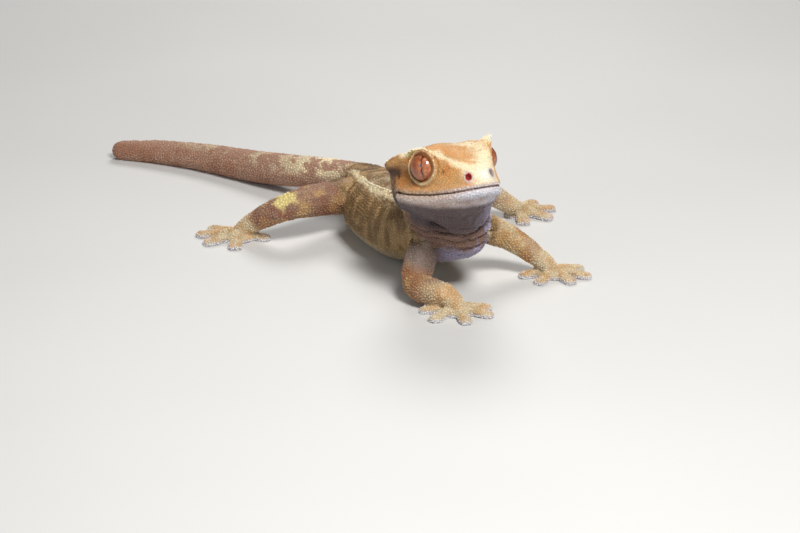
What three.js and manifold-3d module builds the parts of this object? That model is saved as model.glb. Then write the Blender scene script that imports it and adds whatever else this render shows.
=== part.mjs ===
// A crested gecko, life size, resting on its belly with its head raised: the pose of an alert animal.
// Millimetres. +X runs along the back from the hips to the shoulders, +Y is the animal's left, +Z is up.
// The origin is on the floor under the middle of the belly.
import * as THREE from "three";
import { mergeVertices } from "three/addons/utils/BufferGeometryUtils.js";
import Module from "manifold-3d";

const wasm = await Module();
wasm.setup();

// Driving sizes
const HEAD_AT = [41.3, -4.4, 36.7];
const HEAD_YAW = 5.5;
const HEAD_PITCH = 14;
const EYE_RADIUS = 3.65;
const EYE_AT = { x: -1.5, out: 7.7, up: -0.5 };
const EYE_TURN = 54;
const EYE_RIM = { width: 0.7, rise: 0.9 };
const NOSTRIL = { x: 11.7, out: 3.0, up: -3.1, radius: 0.7 };
const EAR = { x: -9.6, out: 11.5, up: -2.6, half: [0.6, 1.0, 1.3] };
const GAP = 0.3;
const SOLE = 0.5;
const MERGE = 2e-3;
const CLAW = { length: 1.7, radius: 0.42 };
const SPINE_SIDES = 4;
const UP = new THREE.Vector3(0, 0, 1);

const vec = (p) => new THREE.Vector3(...p);
const rad = THREE.MathUtils.degToRad;

// Smooth tables

// The row at u, from 0 to 1, of a Catmull-Rom curve through rows of numbers.
function rowAt(rows, u) {
  const last = rows.length - 1;
  const at = Math.min(Math.max(u, 0), 1) * last;
  const i = Math.min(Math.floor(at), last - 1);
  const t = at - i;
  const row = (k) => rows[Math.min(Math.max(k, 0), last)];
  return rows[0].map((_, n) => {
    const [a, b, c, d] = [row(i - 1)[n], row(i)[n], row(i + 1)[n], row(i + 2)[n]];
    const cubic = ((3 * (b - c) + d - a) * t + 2 * a - 5 * b + 4 * c - d) * t + c - a;
    return b + 0.5 * t * cubic;
  });
}

const signedPower = (value, power) => Math.sign(value) * Math.abs(value) ** power;

// Closed meshes

// A closed mesh from rings of points, each ring turning the same way, with a pole at either end.
function meshOfRings(rings, firstPole, lastPole) {
  const sides = rings[0].length;
  const points = [...rings.flat(), firstPole, lastPole];
  const pole = rings.length * sides;
  const faces = [];
  for (let k = 0; k < sides; k++) {
    const next = (k + 1) % sides;
    faces.push(pole, next, k);
    for (let r = 0; r + 1 < rings.length; r++) {
      const low = r * sides;
      const high = low + sides;
      faces.push(low + k, low + next, high + next, low + k, high + next, high + k);
    }
    const end = (rings.length - 1) * sides;
    faces.push(pole + 1, end + k, end + next);
  }
  const geometry = new THREE.BufferGeometry().setFromPoints(points);
  geometry.setIndex(faces);
  return geometry;
}

// A tube with rounded ends through rows of [x, y, z, half width, height above the line, depth below it].
// `squareness` of 2 gives an ellipse, and more a squarer section; `ends` is how far each end bulges.
function loft(rows, { steps, sides, squareness = 2, ends = 0.8, capRings = 3, up = UP }) {
  const rings = [];
  const poles = [];
  const power = 2 / squareness;
  const frameAt = (u) => {
    const step = 0.5 / steps;
    const before = rowAt(rows, u - step);
    const after = rowAt(rows, u + step);
    const along = vec(after.slice(0, 3)).sub(vec(before.slice(0, 3))).normalize();
    const side = up.clone().cross(along).normalize();
    return { along, side, rise: along.clone().cross(side) };
  };
  const ringAt = (u, shrink, push) => {
    const [x, y, z, wide, above, below] = rowAt(rows, u);
    const { along, side, rise } = frameAt(u);
    const centre = new THREE.Vector3(x, y, z).addScaledVector(along, push);
    const ring = [];
    for (let k = 0; k < sides; k++) {
      const turn = (2 * Math.PI * k) / sides;
      const across = signedPower(Math.cos(turn), power) * wide * shrink;
      const lift = signedPower(Math.sin(turn), power);
      const height = lift * (lift > 0 ? above : below) * shrink;
      ring.push(centre.clone().addScaledVector(side, across).addScaledVector(rise, height));
    }
    return { ring, centre };
  };
  const bulgeAt = (u) => {
    const [, , , wide, above, below] = rowAt(rows, u);
    return ends * Math.min(wide, (above + below) / 2);
  };
  const capAngles = Array.from({ length: capRings }, (_, i) => rad(90 - (90 * (i + 1)) / (capRings + 1)));
  for (const a of capAngles)
    rings.push(ringAt(0, Math.cos(a), -Math.sin(a) * bulgeAt(0)).ring);
  poles.push(ringAt(0, 0, -bulgeAt(0)).centre);
  for (let s = 0; s <= steps; s++) rings.push(ringAt(s / steps, 1, 0).ring);
  for (const a of [...capAngles].reverse())
    rings.push(ringAt(1, Math.cos(a), Math.sin(a) * bulgeAt(1)).ring);
  poles.push(ringAt(1, 0, bulgeAt(1)).centre);
  return meshOfRings(rings, poles[0], poles[1]);
}

// Solids

function toSolid(geometry, merge = 1e-4) {
  const bare = new THREE.BufferGeometry();
  bare.setAttribute("position", geometry.getAttribute("position"));
  if (geometry.index) bare.setIndex(geometry.index);
  const merged = mergeVertices(bare, merge);
  return new wasm.Manifold(
    new wasm.Mesh({
      numProp: 3,
      vertProperties: new Float32Array(merged.attributes.position.array),
      triVerts: new Uint32Array(merged.index.array),
    }),
  );
}

function toGeometry(solid) {
  const mesh = solid.getMesh();
  const geometry = new THREE.BufferGeometry();
  geometry.setAttribute("position", new THREE.BufferAttribute(mesh.vertProperties, 3));
  geometry.setIndex(new THREE.BufferAttribute(mesh.triVerts, 1));
  geometry.computeVertexNormals();
  return geometry;
}

// The largest body of a solid, once points a hair apart are one.
function largestBody(solid) {
  const bare = toGeometry(solid);
  bare.deleteAttribute("normal");
  const bodies = toSolid(bare, MERGE).decompose();
  return bodies.reduce((best, body) => (body.volume() > best.volume() ? body : best));
}

const fuse = (solids) => solids.reduce((whole, piece) => whole.add(piece));

// An ellipsoid of half sizes [x, y, z], turned about Z by `turn` degrees.
function ellipsoid(at, half, { turn = 0, columns = 12, rows = 8 } = {}) {
  const ball = new THREE.SphereGeometry(1, columns, rows);
  ball.rotateX(Math.PI / 2);
  ball.scale(...half);
  ball.rotateZ(rad(turn));
  ball.translate(...at);
  return toSolid(ball);
}

// A tapered spine from its sunk root to its tip.
function spine(root, tip, radius, sides = SPINE_SIDES) {
  const axis = tip.clone().sub(root);
  const cone = new THREE.ConeGeometry(radius, axis.length(), sides);
  cone.translate(0, axis.length() / 2, 0);
  const turn = new THREE.Quaternion();
  turn.setFromUnitVectors(new THREE.Vector3(0, 1, 0), axis.normalize());
  cone.applyQuaternion(turn);
  cone.translate(root.x, root.y, root.z);
  return toSolid(cone);
}

// A flat knife, GAP thick, across `along` at a point.
function knife(at, along, reach) {
  const blade = new THREE.BoxGeometry(reach * 2, reach * 2, GAP);
  const turn = new THREE.Quaternion();
  turn.setFromUnitVectors(UP, vec(along).normalize());
  blade.applyQuaternion(turn);
  blade.translate(...at);
  return toSolid(blade);
}

// All of space past a plane across `along`, beginning `shift` beyond a point.
function past({ at, along }, shift) {
  const depth = 60;
  const block = new THREE.BoxGeometry(90, 90, depth);
  const turn = new THREE.Quaternion().setFromUnitVectors(UP, along);
  block.translate(0, 0, depth / 2 + shift);
  block.applyQuaternion(turn);
  block.translate(at.x, at.y, at.z);
  return toSolid(block);
}

// Where a ray from outside first meets a surface.
function surfaceHit(geometry, from, towards) {
  const mesh = new THREE.Mesh(geometry, new THREE.MeshBasicMaterial({ side: THREE.DoubleSide }));
  const ray = new THREE.Raycaster(from, towards.clone().sub(from).normalize());
  const hits = ray.intersectObject(mesh);
  return hits.length ? hits[0].point : null;
}

// Trunk, neck and tail

// Each row: x, y, z of the line, half width, height above it and depth below it.
const TRUNK = [
  [-38, -0.6, 8.6, 4.6, 3.8, 3.8],
  [-33, -0.2, 8.2, 6.4, 5.0, 5.4],
  [-27, -0.6, 8.2, 8.2, 6.0, 7.2],
  [-18, -1.8, 8.4, 9.8, 7.8, 8.4],
  [-9, -3.0, 8.8, 12.0, 9.4, 9.3],
  [2, -3.4, 9.0, 13.0, 10.6, 9.5],
  [13, -2.4, 10.6, 11.8, 10.8, 9.4],
  [22, -0.9, 13.0, 10.0, 10.0, 8.4],
  [30, -0.4, 14.8, 9.4, 8.4, 7.4],
  [36, -1.0, 15.6, 7.6, 6.0, 6.6],
];
const NECK = [
  [26.0, -0.6, 12.5, 9.6, 12.0, 10.5],
  [28.4, -1.6, 18.0, 10.4, 13.4, 13.0],
  [31.0, -3.0, 23.5, 11.0, 12.8, 14.6],
  [33.4, -4.2, 28.6, 11.2, 11.2, 15.0],
  [35.0, -4.6, 32.2, 10.2, 9.2, 12.4],
];
const TAIL = [
  [-34, -0.2, 8.6, 4.6, 4.2, 4.2],
  [-41, -2.2, 8.8, 3.5, 3.3, 3.3],
  [-48, -8.4, 7.8, 4.4, 4.0, 4.0],
  [-58, -15.4, 6.2, 4.9, 4.5, 4.5],
  [-72, -23.0, 4.5, 4.7, 4.4, 4.6],
  [-86, -31.8, 3.8, 4.2, 3.9, 4.1],
  [-98, -42.4, 3.2, 3.6, 3.3, 3.5],
  [-105.5, -51.6, 2.6, 3.0, 2.7, 2.9],
];

const trunk = toSolid(loft(TRUNK, { steps: 20, sides: 24, squareness: 2.2, capRings: 2 }));
// The neck climbs, so its sections are laid out from the throat's side.
const neck = toSolid(
  loft(NECK, { steps: 9, sides: 20, ends: 0.5, capRings: 2, up: new THREE.Vector3(-1, 0, 0) }),
);
const tail = toSolid(loft(TAIL, { steps: 24, sides: 14, ends: 1.1 }));

// Head

// Contours of the left side, from the snout to the back of the skull, in the head's own frame:
// +X forward, +Z up, with the origin midway between the eyes. Each point is [out, up].
const HEAD_X = [13.2, 12.5, 10.9, 8.4, 5.2, 2.0, -1.4, -5.0, -8.8, -12.6, -15.8];
const CROWN = [-4.0, -2.9, -1.5, -0.2, 1.1, 2.5, 3.3, 3.6, 3.4, 2.5, 0.6];
const CHIN = [-7.1, -8.1, -9.6, -11.3, -12.8, -14.0, -14.6, -14.8, -14.4, -13.0, -11.0];
const BROW = [
  [0.9, -4.1], [2.1, -3.0], [3.6, -1.6], [5.0, -0.4], [6.8, 1.4], [8.6, 3.9],
  [9.6, 4.5], [10.5, 3.6], [12.0, 2.2], [13.5, 0.9], [12.2, -1.2],
];
const TEMPLE = [
  [1.2, -4.6], [2.7, -3.8], [4.4, -2.9], [5.9, -2.1], [7.4, -1.2], [8.6, -0.2],
  [8.8, -0.3], [9.4, -0.2], [11.2, -0.6], [12.2, -1.5], [10.8, -2.9],
];
const CHEEK = [
  [1.5, -5.1], [3.1, -4.7], [4.9, -4.4], [6.5, -4.2], [8.2, -4.1], [9.3, -4.2],
  [10.2, -4.4], [11.4, -4.4], [12.3, -4.3], [12.4, -4.3], [10.8, -4.7],
];
const LIP = [
  [1.6, -6.0], [3.4, -6.0], [5.3, -6.2], [7.0, -6.5], [8.7, -6.7], [10.0, -6.9],
  [11.3, -7.1], [12.4, -7.3], [12.9, -7.4], [12.3, -7.3], [10.8, -7.0],
];
const JAW = [
  [1.5, -6.8], [3.2, -7.3], [5.0, -8.2], [6.6, -9.0], [8.0, -9.8], [9.3, -10.4],
  [10.4, -10.8], [11.3, -11.0], [11.6, -11.0], [10.7, -10.4], [9.0, -9.3],
];
const MOUTH = [[17, -6.0], [13, -6.15], [9, -6.7], [3, -7.05], [-4, -6.85], [-9.8, -6.3]];
const SKULL_STEPS = 24;
const POINTS_PER_SPAN = 3;

const headMatrix = new THREE.Matrix4()
  .makeTranslation(...HEAD_AT)
  .multiply(new THREE.Matrix4().makeRotationZ(rad(HEAD_YAW)))
  .multiply(new THREE.Matrix4().makeRotationY(rad(-HEAD_PITCH)));

const inHead = (p) => vec(p).applyMatrix4(headMatrix);

function skullRing(u) {
  const table = HEAD_X.map((x, i) => [
    x, CROWN[i], ...BROW[i], ...TEMPLE[i], ...CHEEK[i], ...LIP[i], ...JAW[i], CHIN[i],
  ]);
  const row = rowAt(table, u);
  const [x, crown] = row;
  const chin = row[row.length - 1];
  const half = [];
  for (let k = 2; k < row.length - 1; k += 2) half.push([row[k], row[k + 1]]);
  const loop = [[0, crown], ...half, [0, chin], ...[...half].reverse().map(([y, z]) => [-y, z])];
  const curve = new THREE.CatmullRomCurve3(
    loop.map(([y, z]) => new THREE.Vector3(x, y, z)), true, "centripetal",
  );
  const sides = loop.length * POINTS_PER_SPAN;
  return Array.from({ length: sides }, (_, k) => curve.getPoint(k / sides));
}

function skullMesh() {
  const rings = [];
  for (let s = SKULL_STEPS; s >= 0; s--) rings.push(skullRing((s / SKULL_STEPS) ** 1.25).reverse());
  const back = new THREE.Vector3(-18.4, 0, -4.6);
  const front = new THREE.Vector3(13.5, 0, -5.6);
  return meshOfRings(rings, back, front);
}

// A thin band between the jaws, along the mouth to its corner, as wide as the head.
function mouthKnife() {
  const line = MOUTH.map(([x, z]) => new THREE.Vector2(x, z));
  const offset = (sign) =>
    line.map((p, i) => {
      const before = line[Math.max(i - 1, 0)];
      const after = line[Math.min(i + 1, line.length - 1)];
      const along = after.clone().sub(before).normalize();
      return new THREE.Vector2(p.x - along.y * sign * GAP / 2, p.y + along.x * sign * GAP / 2);
    });
  const shape = new THREE.Shape([...offset(1), ...offset(-1).reverse()]);
  const width = 30;
  const band = new THREE.ExtrudeGeometry(shape, { depth: width, bevelEnabled: false });
  band.translate(0, 0, -width / 2);
  band.rotateX(Math.PI / 2);
  return band;
}

function eyeAxis(side) {
  const out = rad(EYE_TURN);
  return new THREE.Vector3(Math.cos(out), side * Math.sin(out), 0.14).normalize();
}

const eyeCentre = (side) => new THREE.Vector3(EYE_AT.x, side * EYE_AT.out, EYE_AT.up);

// The raised ring of skin round the eye.
function eyeRim(side) {
  const rim = new THREE.TorusGeometry(EYE_RADIUS + GAP, EYE_RIM.width, 6, 20);
  const turn = new THREE.Quaternion().setFromUnitVectors(UP, eyeAxis(side));
  rim.applyQuaternion(turn);
  const at = eyeCentre(side).addScaledVector(eyeAxis(side), EYE_RIM.rise);
  rim.translate(at.x, at.y, at.z);
  return rim;
}

function headSolids() {
  const plus = [skullMesh()];
  const minus = [];
  for (const side of [1, -1]) {
    plus.push(eyeRim(side));
    const socket = new THREE.SphereGeometry(EYE_RADIUS + GAP + 0.05, 16, 10);
    const at = eyeCentre(side);
    socket.translate(at.x, at.y, at.z);
    const nostril = new THREE.SphereGeometry(NOSTRIL.radius, 8, 6);
    nostril.translate(NOSTRIL.x, side * NOSTRIL.out, NOSTRIL.up);
    const ear = new THREE.SphereGeometry(1, 8, 6);
    ear.scale(...EAR.half);
    ear.translate(EAR.x, side * EAR.out, EAR.up);
    minus.push(socket, nostril, ear);
  }
  const solid = (g) => toSolid(g.applyMatrix4(headMatrix));
  return { flesh: fuse(plus.map(solid)), hollows: fuse(minus.map(solid)) };
}

// Limbs

// Joints of each limb, with its thickness as half sizes, and the toes as [bearing in degrees, reach].
const LIMBS = {
  arm_right: {
    joints: [[27, -3, 13.5], [32.4, -8.8, 12.0], [40.0, -14.4, 4.7], [49.8, -9.6, 4.4]],
    thick: [[4.4, 4.4], [4.0, 4.1], [3.5, 3.7], [2.8, 2.8]],
    palm: [51.2, -8.3], heading: 30,
    toes: [[-118, 8.6], [-66, 8.4], [-2, 8.2], [52, 9.2], [88, 9.0]], rootCut: 1.8, wristCut: 2.2, size: 1,
  },
  arm_left: {
    joints: [[28, 3, 14.0], [28.6, 9.6, 13.0], [29.0, 16.8, 9.4], [34.2, 23.4, 4.2]],
    thick: [[4.4, 4.4], [3.8, 3.9], [3.2, 3.2], [2.5, 2.3]],
    palm: [35.4, 25.6], heading: 40,
    toes: [[-105, 8.2], [-52, 7.6], [18, 7.8], [60, 9.8], [102, 9.6]], rootCut: 1.6, wristCut: 2.2, size: 1,
  },
  leg_right: {
    joints: [[-24, -3, 8.6], [-20.5, -11.5, 9.6], [-14.2, -29.2, 10.8], [-21.0, -38.6, 4.6]],
    thick: [[5.4, 5.0], [5.4, 4.8], [3.9, 3.7], [2.7, 2.5]],
    palm: [-22.2, -42.0], heading: 258,
    toes: [[-158, 11.4], [-128, 11.6], [-84, 9.6], [-24, 8.4], [68, 8.2]],
    rootCut: 5.4, wristCut: 1.8, size: 1.12,
  },
  leg_left: {
    joints: [[-24, 3, 8.6], [-21.5, 9.5, 10.4], [-14.8, 20.6, 12.2], [-11.4, 33.6, 4.4]],
    thick: [[5.4, 5.0], [5.2, 4.8], [3.9, 3.7], [2.7, 2.5]],
    palm: [-13.2, 37.8], heading: 95,
    toes: [[172, 9.4], [134, 11.2], [94, 11.0], [44, 9.6], [-14, 8.6]],
    rootCut: 4.0, wristCut: 1.8, size: 1.12,
  },
};
const PALM_HALF = [4.0, 3.6, 2.3];

// The limb from inside the trunk to the palm, `extra` thicker all round.
function limbSolid({ joints, thick, palm, size }, extra) {
  const rows = joints.map((at, i) => [...at, thick[i][0] + extra, thick[i][1] + extra, thick[i][1] + extra]);
  rows.push([palm[0], palm[1], 1.9, PALM_HALF[1] * size * 0.8 + extra, 1.5 + extra, 1.7 + extra]);
  return toSolid(loft(rows, { steps: 14, sides: 12, ends: 0.6, capRings: 2 }));
}

function toeSolids({ palm, toes, size }) {
  return toes.flatMap(([bearing, reach]) => {
    const along = new THREE.Vector3(Math.cos(rad(bearing)), Math.sin(rad(bearing)), 0);
    const place = (share, z) => [palm[0] + along.x * reach * share, palm[1] + along.y * reach * share, z];
    const rows = [
      [...place(0.12, 1.7), 1.5 * size, 1.4, 1.9],
      [...place(0.42, 1.35), 1.1 * size, 1.15, 1.5],
      [...place(0.66, 0.95), 1.35 * size, 0.95, 1.2],
      [...place(0.84, 0.7), 1.95 * size, 0.8, 1.0],
      [...place(0.95, 0.6), 1.75 * size, 0.7, 0.9],
    ];
    const toe = toSolid(loft(rows, { steps: 5, sides: 8, squareness: 2.3, ends: 1.3, capRings: 1 }));
    const root = vec(place(0.86, 1.1));
    const tip = vec(place(0.95, 0.55)).addScaledVector(along, CLAW.length);
    return [toe, spine(root, tip, CLAW.radius)];
  });
}

function palmSolid({ palm, heading, size }) {
  const half = PALM_HALF.map((h) => h * size);
  return ellipsoid([palm[0], palm[1], SOLE + 0.4], half, { turn: heading, columns: 14, rows: 7 });
}

// A limb parted at its root, its bend and its wrist. Each plane's parts stay GAP apart.
function limbParts(limb) {
  const [, root, bend, end] = limb.joints.map(vec);
  const across = (a, b) => b.clone().sub(a).normalize();
  const upperWay = across(root, bend);
  const lowerWay = across(bend, end);
  const top = { at: root.clone().addScaledVector(upperWay, limb.rootCut), along: upperWay };
  const middle = { at: bend, along: upperWay.clone().add(lowerWay).normalize() };
  const wrist = { at: end.clone().addScaledVector(lowerWay, -limb.wristCut), along: lowerWay };
  const half = GAP / 2;
  const tube = limbSolid(limb, 0);
  const sleeve = limbSolid(limb, GAP);
  const within = (solid, from, to) => solid.intersect(past(from, half)).subtract(past(to, -half));
  const around = (from, to) => sleeve.intersect(past(from, -half)).subtract(past(to, half));
  return {
    root: tube.subtract(past(top, -half)),
    upper: within(tube, top, middle),
    upperRoom: around(top, middle),
    lower: within(tube, middle, wrist),
    foot: fuse([tube.intersect(past(wrist, half)), palmSolid(limb), ...toeSolids(limb)])
      .subtract(around(middle, wrist)),
  };
}

// Crests

// A fringe runs over each eye to the back of the skull, and on along the neck and back as small spines.
const HEAD_FRINGE = { count: 13, from: 0.34, to: 0.985, longest: 2.3, shortest: 1.1, radius: 0.5 };
const BACK_FRINGE = [
  [30.5, -4.2, 30.0, -0.75, 0.65, 0.1],
  [27.5, -2.4, 22.0, -0.75, 0.6, 0.25],
  [22, -1.0, 14.0, -0.4, 0.6, 0.7],
  [10, -2.6, 10.4, 0, 0.6, 0.8],
  [-4, -3.2, 9.0, 0, 0.62, 0.78],
  [-14, -2.2, 8.5, 0, 0.64, 0.76],
];
const BACK_SPINES = { count: 16, length: 1.2, radius: 0.5 };
const SPINE_SUNK = 0.9;
const OUTSIDE = 25;

function headFringe(side, skin) {
  const { count, from, to, longest, shortest, radius } = HEAD_FRINGE;
  const table = HEAD_X.map((x, i) => [x, ...BROW[i]]);
  return Array.from({ length: count }, (_, i) => {
    const share = i / (count - 1);
    const [x, out, up] = rowAt(table, from + (to - from) * share);
    const inner = inHead([x + 0.4, side * (out - 2.4), up - 2.2]);
    const lean = new THREE.Vector3(-0.28 - 0.5 * share, side * (0.72 + 0.3 * share), 0.8 - 0.72 * share);
    const outer = inner.clone().add(lean.transformDirection(headMatrix).multiplyScalar(12));
    const hit = surfaceHit(skin, outer, inner);
    if (!hit) return null;
    const along = outer.sub(inner).normalize();
    const swell = Math.sin(Math.PI * Math.min(share * 1.6 + 0.12, 1));
    const length = shortest + (longest - shortest) * swell * (i % 2 ? 0.82 : 1);
    const root = hit.clone().addScaledVector(along, -SPINE_SUNK);
    return spine(root, hit.clone().addScaledVector(along, length), radius);
  }).filter(Boolean);
}

function backFringe(side, skin) {
  const { count, length, radius } = BACK_SPINES;
  return Array.from({ length: count }, (_, i) => {
    const share = i / (count - 1);
    const [x, y, z, leanX, leanY, leanZ] = rowAt(BACK_FRINGE, share);
    const inner = new THREE.Vector3(x, y, z);
    const lean = new THREE.Vector3(leanX, side * leanY, leanZ).normalize();
    const hit = surfaceHit(skin, inner.clone().addScaledVector(lean, OUTSIDE), inner);
    const root = hit.clone().addScaledVector(lean, -SPINE_SUNK);
    return spine(root, hit.clone().addScaledVector(lean, length * (1 - 0.35 * share)), radius);
  });
}

// Assembly: the body is modelled whole, trimmed flat where it rests, and parted with thin cuts.

const parts = Object.fromEntries(Object.entries(LIMBS).map(([name, limb]) => [name, limbParts(limb)]));
const limbs = Object.values(parts);
const headForm = headSolids();
const body = fuse([trunk, neck, tail, headForm.flesh, ...limbs.map((limb) => limb.root)]);
const skin = toGeometry(body);
const spines = [1, -1].flatMap((side) => [...headFringe(side, skin), ...backFringe(side, skin)]);
const FLOOR_TO = 300;

function floorBlock() {
  const depth = 20;
  const block = new THREE.BoxGeometry(FLOOR_TO, FLOOR_TO, depth);
  block.translate(0, 0, -depth / 2);
  return toSolid(block);
}

const cuts = [
  knife(
    inHead([-11.2, 0, -4.6]).toArray(),
    new THREE.Vector3(17, 0, 12).transformDirection(headMatrix).toArray(),
    23,
  ),
  toSolid(mouthKnife().applyMatrix4(headMatrix)),
  knife([25, -0.6, 19.5], [0.5, 0, 1], 20),
  knife([-39.6, -1.6, 8.6], [-0.9, -0.45, 0], 7),
  knife([-66, -19.8, 5], [-0.88, -0.48, 0], 8),
  knife([-88, -33.4, 4], [-0.76, -0.65, 0], 8),
];
const under = floorBlock();
const hollows = [headForm.hollows, ...limbs.map((limb) => limb.upperRoom)];
const pieces = fuse([body, ...spines]).subtract(fuse([under, ...hollows, ...cuts])).decompose();

// A point inside each piece gives it its name and its colour.
const SKIN = { roughness: 0.62, metalness: 0 };
const NODES = [
  ["head", inHead([4, 0, -2]), 0xcf9550],
  ["lower_jaw", inHead([4, 0, -8.5]), 0xb7a79f],
  ["neck", new THREE.Vector3(31, -2.4, 25), 0x8d7a70],
  ["torso", new THREE.Vector3(0, -3, 9), 0x9a8158],
  ["tail_base", new THREE.Vector3(-52, -11.4, 7), 0xb08a63],
  ["tail_middle", new THREE.Vector3(-76, -25.3, 4.2), 0xa98067],
  ["tail_tip", new THREE.Vector3(-98, -42.4, 3), 0xb08f70],
];
function holds(solid, point) {
  const probe = ellipsoid(point.toArray(), [0.25, 0.25, 0.25], { columns: 4, rows: 3 });
  return solid.intersect(probe).volume() > 0.5 * probe.volume();
}

const gecko = new THREE.Group();

function addNode(name, geometry, material) {
  const mesh = new THREE.Mesh(geometry, material);
  mesh.name = name;
  gecko.add(mesh);
}

for (const [name, point, color] of NODES) {
  const found = pieces.find((piece) => holds(piece, point));
  if (!found) throw new Error(`no piece holds the point of ${name}`);
  addNode(name, toGeometry(largestBody(found)), new THREE.MeshStandardMaterial({ color, ...SKIN }));
}

const LIMB_PARTS = {
  arm: [["upper_arm", 0xa88a60], ["forearm", 0xb39667], ["hand", 0xcdbb95]],
  leg: [["thigh", 0x9c8770], ["shin", 0x8f7a66], ["foot", 0xbdab8c]],
};
for (const [limbName, limb] of Object.entries(parts)) {
  const [kind, side] = limbName.split("_");
  [limb.upper, limb.lower, limb.foot].forEach((solid, i) => {
    const [name, color] = LIMB_PARTS[kind][i];
    const trimmed = largestBody(solid.subtract(under));
    addNode(`${name}_${side}`, toGeometry(trimmed), new THREE.MeshStandardMaterial({ color, ...SKIN }));
  });
}

for (const [name, side] of [["eye_left", 1], ["eye_right", -1]]) {
  const ball = new THREE.SphereGeometry(EYE_RADIUS, 20, 12);
  const at = eyeCentre(side);
  ball.translate(at.x, at.y, at.z);
  ball.applyMatrix4(headMatrix);
  addNode(name, ball, new THREE.MeshStandardMaterial({ color: 0xb4622f, roughness: 0.12, metalness: 0 }));
}

export default gecko;
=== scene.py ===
# %% [markdown]
# A crested gecko, as a museum would show it: still, life size, resting on its belly with its head up.
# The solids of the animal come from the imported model. This lesson dresses them: one skin over all the
# flesh, eyes, small scales that stand up as real domes, the fringe of spines, claws, and the light.

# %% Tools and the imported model
import math

import bpy
import numpy as np
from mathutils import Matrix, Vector
from mathutils.bvhtree import BVHTree


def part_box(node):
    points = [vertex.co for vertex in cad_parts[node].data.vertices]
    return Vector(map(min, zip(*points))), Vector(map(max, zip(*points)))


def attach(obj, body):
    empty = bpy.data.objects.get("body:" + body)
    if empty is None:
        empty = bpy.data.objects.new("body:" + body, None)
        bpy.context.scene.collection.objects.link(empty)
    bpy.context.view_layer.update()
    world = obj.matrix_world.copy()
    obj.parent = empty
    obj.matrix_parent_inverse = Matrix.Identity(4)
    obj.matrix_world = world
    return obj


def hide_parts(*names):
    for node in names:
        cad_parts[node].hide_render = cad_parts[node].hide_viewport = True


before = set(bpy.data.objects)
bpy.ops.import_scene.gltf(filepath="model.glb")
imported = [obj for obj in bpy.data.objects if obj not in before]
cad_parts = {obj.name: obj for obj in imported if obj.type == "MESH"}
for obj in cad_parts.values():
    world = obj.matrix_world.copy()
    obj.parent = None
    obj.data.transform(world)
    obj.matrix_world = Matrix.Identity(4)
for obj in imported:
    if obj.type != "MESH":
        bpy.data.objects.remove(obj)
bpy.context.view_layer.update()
MM = 0.001
rng = np.random.default_rng(7)
print("nodes", len(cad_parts))

# %% [markdown]
# The head is raised and turned, so its features are easiest to place in its own frame: forward, left and
# up, with the origin between the eyes. The eyes are nodes of the model, so the frame is found from them.

# %% The head's own frame
HEAD_YAW = math.radians(5.5)
HEAD_PITCH = math.radians(14)
EYE_IN_HEAD = np.array([-1.5, 0.0, -0.5])
EYE_TURN = math.radians(54)
EYE_LIFT = 0.14
EYE_RADIUS = 3.65
EYE_SIDES = {"right": -1, "left": 1}


def middle_of(node):
    low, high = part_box(node)
    return (np.array(low) + np.array(high)) / 2 / MM


forward = np.array([
    math.cos(HEAD_PITCH) * math.cos(HEAD_YAW), math.cos(HEAD_PITCH) * math.sin(HEAD_YAW), math.sin(HEAD_PITCH)
])
leftward = np.array([-math.sin(HEAD_YAW), math.cos(HEAD_YAW), 0.0])
HEAD_AXES = np.array([forward, leftward, np.cross(forward, leftward)])
EYES = {side: middle_of(f"eye_{side}") for side in EYE_SIDES}
HEAD_ORIGIN = (EYES["right"] + EYES["left"]) / 2 - EYE_IN_HEAD @ HEAD_AXES


def to_head(points):
    return (points - HEAD_ORIGIN) @ HEAD_AXES.T


def from_head(points):
    return np.asarray(points) @ HEAD_AXES + HEAD_ORIGIN


def eye_axis(sign):
    axis = np.array([math.cos(EYE_TURN), sign * math.sin(EYE_TURN), EYE_LIFT])
    return axis / np.linalg.norm(axis)


print("head origin in mm", HEAD_ORIGIN.round(2))

# %% [markdown]
# Nothing on an animal is even. A lattice of random numbers, blended smoothly between its points, gives
# soft noise that is the same on every run. It moves skin, sizes scales and breaks up markings.

# %% Noise and blending on arrays of points
LATTICE_SIZE = 48
LATTICE = rng.random((LATTICE_SIZE,) * 3)
NOISE_START = 100
SEED_STEP = 17.3


def ramp(values, low, high):
    t = np.clip((values - low) / (high - low), 0, 1)
    return t * t * (3 - 2 * t)


def noise(points, size, seed=0):
    at = np.asarray(points) / size + NOISE_START + SEED_STEP * seed
    cell = np.floor(at).astype(int)
    t = at - cell
    t = t * t * (3 - 2 * t)
    total = np.zeros(len(at))
    for corner in range(8):
        step = np.array([corner & 1, corner >> 1 & 1, corner >> 2 & 1])
        index = (cell + step) % LATTICE_SIZE
        weight = np.prod(np.where(step, t, 1 - t), axis=1)
        total += weight * LATTICE[index[:, 0], index[:, 1], index[:, 2]]
    return total


def line_distance(points, start, end):
    start, end = np.array(start, float), np.array(end, float)
    along = end - start
    t = np.clip((points - start) @ along / (along @ along), 0, 1)
    return np.linalg.norm(points - start - t[:, None] * along, axis=1)


def layered_noise(points, size, seed=0):
    return (noise(points, size, seed) * 4 + noise(points, size / 2.1, seed + 1) * 2
            + noise(points, size / 4.3, seed + 2)) / 7


def bump_at(values, centre, width):
    return np.exp(-(((values - centre) / width) ** 2))


def reach_from(points, place, stretch=1):
    return np.linalg.norm((points - place) / stretch, axis=1)


def blob(points, centre, size):
    return np.exp(-(((points - centre) / size) ** 2).sum(axis=1))


print("noise on one point", noise([[0, 0, 0]], 2).round(3))

# %% [markdown]
# An operator acts on whatever is selected, so one piece at a time is made the active one. To shape a mesh
# point by point, its places are read into one array of numbers, in millimetres, and written back.

# %% Helpers for meshes
def deselect_all():
    bpy.ops.object.select_all(action="DESELECT")


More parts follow.
